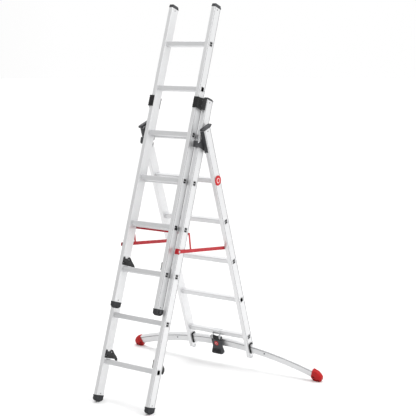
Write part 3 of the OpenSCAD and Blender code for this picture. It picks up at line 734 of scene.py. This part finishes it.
def latch_shape(x0, t):
    front = -HALF_D
    edge = [(front + d, s) for d, s in latch]
    holes = [ring_points(3.6, front + LATCH_D, LATCH_S), ring_points(5.0, front + 12, 34.0),
             ring_points(6.0, front + 58, 58.0)]
    shape = Shape(plate([fillet(edge, latch_round), *holes], x0, x0 + t - 0.5, 0.7))
    for r, d, s in ((5.0, 12, 34.0), (6.0, 58, 58.0)):  # raised rims round the holes
        shape.add(plate([ring_points(r + 2.2, front + d, s), ring_points(r, front + d, s)], x0, x0 + t, 0.45))
    for d0, s0, d1, s1 in ((24, 27, 92, 27), (24, 50, 46, 50), (34, 30, 34, 50), (92, 28, 112, 26),
                           (112, 24, 112, 0)):
        a, b = Vector((front + d0, s0)), Vector((front + d1, s1))  # stiffening ribs
        across = (b - a).normalized().orthogonal() * 1.5
        rib = [tuple(a + across), tuple(a - across), tuple(b - across), tuple(b + across)]
        shape.add(plate([fillet(rib, 1.2)], x0 + 0.5, x0 + t, 0.4))
    return shape


for body, where, inner, t, gap in (("base", BASE, BASE_IN, 3.5, 4.0), ("ext", EXT, EXT_IN, 4.0, 4.5)):
    for side in ("right", "left"):
        piece(f"latch_{body}_{side}", latch_shape(inner - gap, t), where, f"{body}_latch_{side[0]}",
              [black_plastic],
              [f"{body}_latch_{side}"], side)


def thumb_bolt(x0, x1, head):
    """Pivot bolt with a knurled thumb knob on the latch's inner side."""
    teeth = []
    for k in range(18):
        a = 2 * math.pi * k / 18
        for turn, r in ((-0.09, 5.3), (-0.04, 6.0), (0.09, 6.0), (0.14, 5.3)):
            teeth.append((-HALF_D + LATCH_D + r * math.cos(a + turn), LATCH_S + r * math.sin(a + turn)))
    shape = Shape()
    shape.add(plate([teeth], x0 - head, x0 - 0.6, 0.35), 1)
    shape.add(lathe([(0, 0), (3.5, 0), (3.5, x1 - x0 + 0.6), (0, x1 - x0 + 0.6)],
                    facing(x0 - 0.6, -HALF_D + LATCH_D, LATCH_S), 24))
    return shape


piece("latch_bolts_base", thumb_bolt(BASE_IN - 4.0, BASE_IN, 2.6), BASE, "base", [steel, dark_steel],
      ["base_latch_bolts"])
piece("latch_bolts_extension", thumb_bolt(EXT_IN - 4.5, EXT_IN, 3.0), EXT, "extension", [steel, dark_steel],
      ["ext_latch_bolts"])

# ---------------------------------------------------------------- spreader fittings

clip = [(BASE_OUT - 22, -HALF_D), (BASE_OUT, -HALF_D), (BASE_OUT, -HALF_D + 14), (BASE_OUT + 2, -HALF_D + 14),
        (BASE_OUT + 2, -HALF_D - 5.5), (BASE_OUT - 19, -HALF_D - 5.5), (BASE_OUT - 22, -HALF_D - 2.5)]
shape = Shape(plate([fillet(clip, [0.3, 0.3, 0.3, 0.8, 2.5, 2.5, 1.2])], PIVOT_S - 16, PIVOT_S + 16, 0.8,
                    "s", 3))
for s in (PIVOT_S - 10.0, PIVOT_S + 8.0):
    shape.add(block(BASE_OUT - 17, BASE_OUT - 1, -HALF_D - 5.5, -HALF_D - 4, s, s + 2.0, 0.5))
piece("clips_spreader", shape, BASE, "base", [red_coat], ["spreader_clips"])

shape = Shape(lathe([(0, 0), (4, 0), (4, 6.0), (0, 6.0)], facing(BASE_OUT + 1.6, PIVOT_D, PIVOT_S), 28))
for bm_part in socket_bolt(BAR_X + SPREADER_T + 0.2, PIVOT_D, PIVOT_S, 7.0, 1.6):
    shape.add(bm_part)
piece("bolts_spreader_pivot", shape, BASE, "base", [steel], ["spreader_pivot_bolts"])

stud_start = BAR_X + SPREADER_T + 0.4
stud_profile = [(0, 0), (3.2, 0), (4, 0.8), (4, REAR_IN - stud_start), (0, REAR_IN - stud_start)]
shape = Shape(lathe(stud_profile, facing(stud_start, STUD_D, STUD_S), 28))
for bm_part in socket_bolt(REAR_OUT, STUD_D, STUD_S, 7.0, 2.4):
    shape.add(bm_part)
piece("studs_spreader", shape, REAR, "rear", [steel], ["spreader_studs"])

# ---------------------------------------------------------------- rear section fittings

disc_profile = [(0, 3.7), (8, 3.6), (20, 3.1), (23.6, 2.6), (24.2, 1.9), (25.4, 1.9), (26, 3.0), (27.6, 3.5),
                (29.6, 3.2), (30.7, 2.2), (31, 1.0), (31, 0), (0, 0)]
shape = Shape(lathe(disc_profile, facing(REAR_OUT + 1.2, 0, 4 * PITCH), 72))
ring_mark = [(12.0, 3.3), (12.4, 3.85), (15.6, 3.7), (16.0, 3.1)]
shape.add(lathe(ring_mark, facing(REAR_OUT + 1.2, 0, 4 * PITCH), 64), 1)
piece("disc_badge", shape, REAR, "rear", [red_badge, pale_mark], ["badge_disc"], "right")

SLOT_S = ARC_S + math.sqrt(ARC_R**2 - (REAR_IN + STILE_W / 2) ** 2)
shape = Shape()
tall, wide = (BAR_H + 18) / 2, (BAR_T + 16) / 2
collar_mid = SLOT_S - BAR_H / 2
collar = [(-wide + 6, -tall), (wide - 6, -tall), (wide, -tall + 6), (wide, tall - 6), (wide - 6, tall),
          (-wide + 6, tall),
          (-wide, tall - 6), (-wide, -tall + 6)]
slot_low = SLOT_S - BAR_H - 3.5
opening = [(-BAR_T / 2 - 1, slot_low), (BAR_T / 2 + 1, slot_low), (BAR_T / 2 + 1, slot_low + BAR_H + 6),
           (-BAR_T / 2 - 1, slot_low + BAR_H + 6)]
for x in (REAR_IN - 6, REAR_OUT):
    outline = fillet([(d, s + collar_mid) for d, s in collar], 5)
    shape.add(plate([outline, opening], x, x + 6, 1.4, steps=3))
    face_x, side = (x + 5.8, "x") if x > REAR_IN else (x + 0.2, "-x")
    for s in (collar_mid - tall + 3.4, collar_mid + tall - 3.4):
        shape.add(rivet(face_x, s, 0, side, 2.0, 0.2), 1)
piece("collars_bar", shape, REAR, "rear", [black_plastic, dark_steel], ["bar_collars"])

ring_r, ring_mid = 13.0, REAR_IN + STILE_W / 2
ring_s = REAR_BOTTOM - ring_r - 1
eye = [(5.5, -5.5), (7.5, -8), (10.5, -8), (13, -5), (13, 5), (10.5, 8), (7.5, 8), (5.5, 5.5)]
shape = Shape(lathe(eye, facing(ring_mid, 0, ring_s), 48))
shape.add(block(REAR_IN, REAR_OUT, -HALF_D, HALF_D, REAR_BOTTOM - 3, REAR_BOTTOM, 1.0))
neck = [(-12.5, REAR_BOTTOM - 1), (-8, REAR_BOTTOM - 9), (8, REAR_BOTTOM - 9), (12.5, REAR_BOTTOM - 1)]
shape.add(plate([fillet(neck, 1.5)], ring_mid - 6, ring_mid + 6, 0.8))
piece("eyes_rear_stiles", shape, REAR, "rear", [steel], ["stile_end_rings"])

# ---------------------------------------------------------------- stabiliser


CAP_X = 706.0
CAP_S = ARC_S + math.sqrt((ARC_R - BAR_H / 2) ** 2 - CAP_X**2)
CAP_TURN = math.asin(CAP_X / (ARC_R - BAR_H / 2))


def superoval(half_d, low, high, square, count=32):
    """A squarish closed section across the cap's axis, as (depth, height) points."""
    out = []
    mid, half = (low + high) / 2, (high - low) / 2
    for k in range(count):
        t = 2 * math.pi * k / count
        c, s = math.cos(t), math.sin(t)
        d = half_d * math.copysign(abs(c) ** (2 / square), c)
        out.append((d, mid + half * math.copysign(abs(s) ** (2 / square), s)))
    return out


BALL_R, BALL_X, BALL_S = 37.0, 707.0, CAP_S - 15.7


def end_cap():
    """Rubber cap: a squared sleeve over the bar's end that folds into a full round foot below it."""
    along = Vector((math.cos(CAP_TURN), 0, -math.sin(CAP_TURN)))
    up = Vector((math.sin(CAP_TURN), 0, math.cos(CAP_TURN)))
    centre = Vector((CAP_X, 0, CAP_S))
    ball = Vector((BALL_X, 0, BALL_S))
    #            a     half    top   squareness
    stations = [(-31, 16.0, 28.4, 6.0), (-31, 17.6, 29.4, 6.0), (-29, 18.4, 30.2, 6.0),
                (-22, 18.5, 30.6, 6.0),
                (-15.5, 18.4, 30.6, 5.4), (-14.2, 17.3, 30.2, 5.2), (-11.6, 17.4, 30.2, 5.0),
                (-10.2, 19.6, 30.8, 4.6),
                (-6, 20.4, 30.8, 4.2), (2, 20.5, 29.8, 4.0), (10, 20.5, 27.0, 3.8), (18, 20.3, 22.6, 3.6),
                (26, 19.8, 17.2, 3.4), (33, 18.6, 11.0, 3.2), (38, 16.8, 4.4, 3.0), (41.6, 14.2, -3.4, 2.8)]
    sections = []
    for a, half, top, square in stations:
        line = centre + along * a
        # lowest point: where the cross-section's line leaves the round foot, or the sleeve's lower edge
        offset = line - ball
        b, c = offset.dot(up), offset.dot(offset) - (BALL_R - 0.6) ** 2
        low = -b - math.sqrt(b * b - c) if b * b > c else -31.0
        low = min(low, -31.0) if a < -8 else low
        sections.append([tuple(line + up * h + Vector((0, d, 0))) for d,
                         h in superoval(half, low, top, square)])
    tip = centre + along * 43.2 + up * -14.4
    sections.append([tuple(tip + (Vector(p) - tip - along * 1.6) * 0.55 + along * 0.3) for p in sections[-1]])
    skin = smooth(loft(sections), 1)
    shape = Shape(skin)
    for turn in (-105, -55, -5, 45):  # dark patches round both faces of the foot, painted shade standing for recesses; they lie on the skin, not sunk into it
        a = math.radians(turn)
        spoke = [(10.0, -2.8), (26.0, -4.8), (26.0, 4.8), (10.0, 2.8)]
        outline = []
        for r, across in spoke:
            x = BALL_X + r * math.sin(a) + across * math.cos(a)
            outline.append((x, BALL_S - r * math.cos(a) + across * math.sin(a)))
        for d0, d1 in ((-20.9, -17.0), (17.0, 20.9)):
            shape.add(plate([fillet(outline, 1.6)], d0, d1, 0.6, "d", 1), 1)
    for k in range(6):  # tread ridges under the foot and up its outer end
        turn = math.radians(-38 + 20 * k)
        place = Matrix.Translation(ball) @ Matrix.Rotation(-turn, 4, "Y")
        ridge = fillet([(-13.0, -36.6), (13.0, -36.6), (13.0, -31.0), (-13.0, -31.0)], 0.8)
        shape.add(plate([ridge], -1.9, 1.9, 0.8, "x", 2), place=place)
    return shape


for side in ("right", "left"):
    piece("cap_stabiliser_" + side, end_cap(), REAR, "stabiliser", [red_cap, red_painted_shade],
          ["stabiliser_cap_" + side],
          side, floor=True, angle=50)

screw_s = ARC_S + math.sqrt((ARC_R - BAR_H / 2) ** 2 - STOP_X**2)
shape = Shape()
for side, d in (("-d", -BAR_T / 2), ("d", BAR_T / 2)):
    for bm_part in socket_bolt(STOP_X, d, screw_s, 4.5, 2.0, side):
        shape.add(bm_part)
piece("screws_stabiliser_stop", shape, REAR, "stabiliser", [dark_steel], ["stabiliser_stop_screws"])

# ---------------------------------------------------------------- pedal

PEDAL_TILT = math.atan(4 / 50)


def pedal_face(s):
    return -42 + (s + 60) * math.tan(PEDAL_TILT)


def pedal():
    """Waisted foot lever: a domed shank that carries the badge, and a broad ribbed tread below."""
    #            s     half   front  back   dish
    stations = [(-42.6, 37.0, -37.0, -24.5, 0.0), (-43.4, 39.0, -39.0, -23.6, 0.0),
                (-50, 40.6, -41.0, -22.6, 0.0),
                (-62, 39.4, -42.0, -22.2, -0.5), (-76, 37.8, -43.0, -21.8, -0.5),
                (-90, 37.0, -44.2, -21.4, 0.0),
                (-98, 37.4, -46.6, -21.2, 0.8), (-108, 39.2, -53.0, -20.9, 1.6),
                (-120, 42.6, -59.0, -20.5, 2.2),
                (-130, 44.6, -62.4, -20.3, 2.2), (-137, 44.4, -62.6, -20.6, 1.6),
                (-140.2, 42.0, -60.4, -22.0, 0.6),
                (-140.9, 38.0, -56.5, -25.0, 0.0)]
    sections = []
    for s, half, front, back, dish in stations:
        mid, deep = (front + back) / 2, (back - front) / 2
        points = []
        for k in range(36):
            t = 2 * math.pi * k / 36
            c, n = math.cos(t), math.sin(t)
            x = half * math.copysign(abs(c) ** 0.5, c)
            d = mid + deep * math.copysign(abs(n) ** 0.5, n)
            if n < 0:
                d += dish * (1 - (x / half) ** 2) * 2
            points.append((x, d, s))
        sections.append(points)
    skin = smooth(loft(sections), 1)
    shape = Shape(skin)
    for side in (-1, 1):  # ears round the axle beside the bracket's cheeks, and caps over its ends
        for x0, x1, r in ((13.6, 22.4, 11.5), (37.6, 40.0, 10.0)):
            eye = ring_points(r, AXLE_D, AXLE_S, 36)
            arm = [(-37.5, -50), (-38.5, AXLE_S - 4), (-24.5, AXLE_S - 4), (-24.0, -50)]
            if side < 0:
                x0, x1 = -x1, -x0
            shape.add(plate([eye], x0, x1, 1.0), 1)
            if r > 11:
                shape.add(plate([fillet(arm, 1.5)], x0, x1, 1.0), 1)
    for k in range(5):  # tread ribs where the foot presses
        s = -108 - 6.0 * k
        face = -53.6 - 5.6 * (k * 0.55) if k < 3 else -61.0
        half = 30 + 1.6 * k
        rib = fillet([(-half, s - 1.4), (half, s - 1.4), (half, s + 1.4), (-half, s + 1.4)], 1.3)
        shape.add(plate([rib], face + 1.2, face + 6.0, 0.8, "d"), 1)
    return shape


piece("pedal_lever", pedal(), REAR, "pedal", [grey_plastic, black_plastic], ["pedal_plate"],
      "right")

tilt = Matrix.Translation((0, pedal_face(-68), -68)) @ Matrix.Rotation(math.pi / 2 - PEDAL_TILT, 4, "X")
profile = [(0, 2.3), (6, 2.2), (11.6, 1.9), (12.2, 1.4), (12.8, 1.4), (13.3, 2.1), (14.6, 1.9), (15.3, 1.2),
           (15.5, 0.3),
           (15.5, -1.5), (0, -1.5)]
shape = Shape(lathe(profile, tilt, 56))
shape.add(lathe([(5.6, 2.0), (5.9, 2.4), (7.9, 2.35), (8.2, 1.8)], tilt, 48), 1)
piece("badge_pedal", shape, REAR, "pedal", [red_badge, pale_mark], ["pedal_badge"], "right")


def coil(x0, x1, turns):
    """Torsion spring round the axle, with a leg down behind the pedal and one up to the rung."""
    points = [(x0, AXLE_D + 6.9, AXLE_S + 17)]
    count = int(turns * 20)
    for k in range(count + 1):
        a = 2 * math.pi * turns * k / count
        points.append((x0 + (x1 - x0) * k / count, AXLE_D + 6.9 * math.cos(a), AXLE_S + 6.9 * math.sin(a)))
    end = 2 * math.pi * turns
    leg = Vector((0, -math.sin(end), math.cos(end)))
    last = Vector(points[-1])
    points.append(tuple(last + leg * -0.5 + Vector((0, 0, -7))))
    return wire(points, 1.1)


shape = Shape(coil(29.2, 35.8, 3.75))
piece("springs_pedal", shape, REAR, "rear", [steel], ["pedal_spring"])

# ---------------------------------------------------------------- camera, light and floor

camera = bpy.data.objects.new("camera", bpy.data.cameras.new("camera"))
scene.collection.objects.link(camera)
camera.location = (3.681, -5.043, 2.096)
aim = Vector((0.0, 0.348, 1.067)) - camera.location
camera.rotation_mode = "QUATERNION"
camera.rotation_quaternion = aim.to_track_quat("-Z", "Y")
camera.data.lens, camera.data.sensor_width = 89.6, 36.0
camera.data.clip_end = 200.0
scene.camera = camera
scene.view_settings.view_transform = "Standard"

world = bpy.data.worlds.new("studio")
scene.world = world
world.use_nodes = True
sky = world.node_tree
direction = add_node(sky, "ShaderNodeTexCoord").outputs["Generated"]
# the studio is brightest behind and to the right, and dimmer in front and to the left
toward = add_node(sky, "ShaderNodeVectorMath", {0: direction, 1: (0.6, 0.75, 0.0)},
                  operation="DOT_PRODUCT").outputs["Value"]
level = ramp(sky, toward, 0.66, 1.0, -0.75, 0.15)
upward = add_node(sky, "ShaderNodeSeparateXYZ", {"Vector": direction}).outputs["Z"]
level = add_node(sky, "ShaderNodeMath", {0: level, 1: ramp(sky, upward, 0.0, 0.45, 0.3, 1.0)},
                 operation="ADD").outputs[0]
background = sky.nodes["Background"]
sky.links.new(level, background.inputs["Strength"])
background.inputs["Color"].default_value = (1.0, 1.0, 1.0, 1.0)


def soft_light(name, place, target, size, power):
    light = bpy.data.objects.new(name, bpy.data.lights.new(name, "AREA"))
    light.data.shape, light.data.size, light.data.energy = "DISK", size, power
    light.location = place
    light.rotation_mode = "QUATERNION"
    light.rotation_quaternion = (Vector(target) - Vector(place)).to_track_quat("-Z", "Y")
    scene.collection.objects.link(light)


soft_light("key_light", (4.6, 0.4, 4.4), (0, 0, 1.1), 1.6, 90.0)
soft_light("top_light", (-0.6, 1.2, 6.0), (0, 0, 1.0), 3.0, 90.0)

floor_mesh = bpy.data.meshes.new("floor")
bm = bmesh.new()
bmesh.ops.create_circle(bm, cap_ends=True, segments=96, radius=60.0)
bm.to_mesh(floor_mesh)
bm.free()
floor = bpy.data.objects.new("floor", floor_mesh)
scene.collection.objects.link(floor)
floor_look, tree, shader = material("pale_floor")
speckle = noise(tree, coords(tree, (3.0, 3.0, 3.0)), 4.0, 0.6)
reach = add_node(tree, "ShaderNodeVectorMath", {0: coords(tree, (1.0, 1.0, 1.0))},
                 operation="LENGTH").outputs["Value"]
# painted shade on the floor: it is darker round the ladder and grows paler out to 9 m, so it fades into the
# white background
pale = mix(tree, ramp(tree, reach, 0.0, 1.0, 1.0, 9.0), (0.86, 0.86, 0.86), (0.97, 0.97, 0.97))
pale = mix(tree, ramp(tree, speckle, 0.0, 0.12), pale, (0.80, 0.80, 0.80))
connect(tree, shader, pale, ramp(tree, speckle, 0.6, 0.7), speckle, 0.02, 0.001)
floor.data.materials.append(floor_look)
